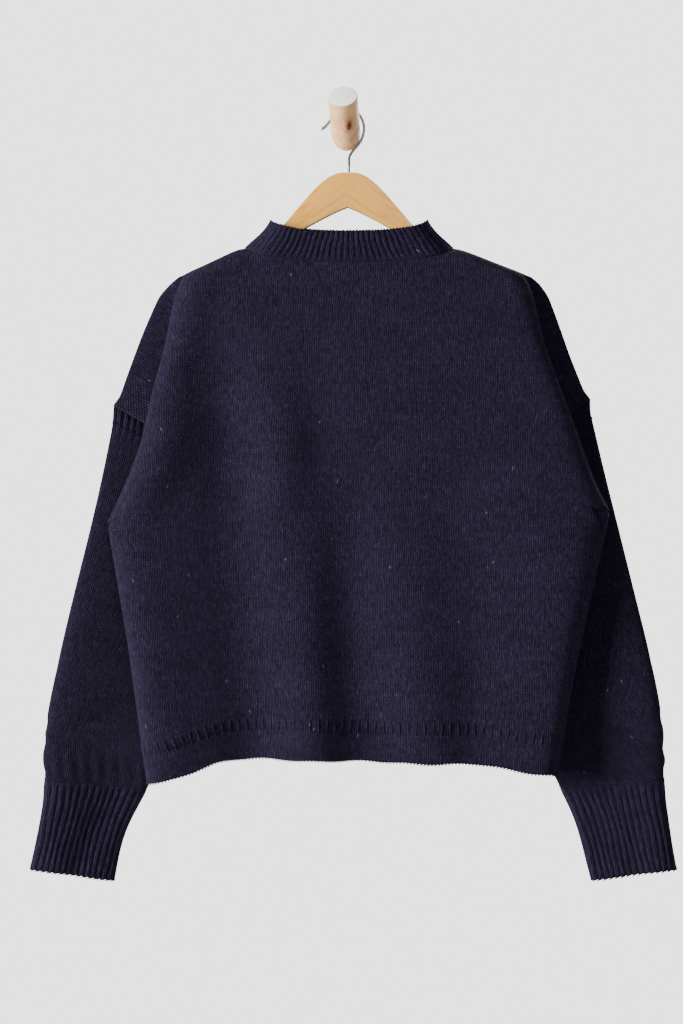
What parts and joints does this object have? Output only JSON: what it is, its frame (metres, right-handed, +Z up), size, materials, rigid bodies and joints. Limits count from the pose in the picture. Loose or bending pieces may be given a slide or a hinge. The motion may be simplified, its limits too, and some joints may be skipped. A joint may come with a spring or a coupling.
{
  "type": "guernsey fisherman sweater on a wooden hanger and wall peg",
  "caption": "Boxy drop-shoulder knitted guernsey sweater with a ribbed neckband, balloon sleeves and ribbed cuffs, hanging from a wire hook on a round wall peg.",
  "frame": {"origin": "the centre of the peg's back face, on the wall", "axes": "+Z up, +Y into the wall, +X to the viewer's right when facing the sweater's front"},
  "size_m": [0.7824, 0.0737, 0.955],
  "materials": {
    "front": "heathered navy wool, stocking stitch",
    "back": "heathered navy wool, stocking stitch",
    "front_welt": "heathered navy wool, plain welt",
    "back_welt": "heathered navy wool, plain welt",
    "underarm_gusset_left": "heathered navy wool, stocking stitch",
    "underarm_gusset_right": "heathered navy wool, stocking stitch",
    "sleeve_left": "heathered navy wool, stocking stitch",
    "sleeve_right": "heathered navy wool, stocking stitch",
    "cuff_left": "heathered navy wool, ribbed",
    "cuff_right": "heathered navy wool, ribbed",
    "neckband": "heathered navy wool, ribbed",
    "hanger_body": "pale lacquered beech",
    "hanger_hook": "plated steel wire",
    "wall_peg": "oiled pine with a white painted end"
  },
  "bodies": {
    "root": {"front": "front", "back": "back", "front_welt": "front_welt", "back_welt": "back_welt", "underarm_gusset_left": "underarm_gusset_left", "underarm_gusset_right": "underarm_gusset_right", "sleeve_left": "sleeve_left", "sleeve_right": "sleeve_right", "cuff_left": "cuff_left", "cuff_right": "cuff_right", "neckband": "neckband", "hanger_body": "hanger_body", "hanger_hook": "hanger_hook", "wall_peg": "wall_peg"}
  },
  "joints": []
}
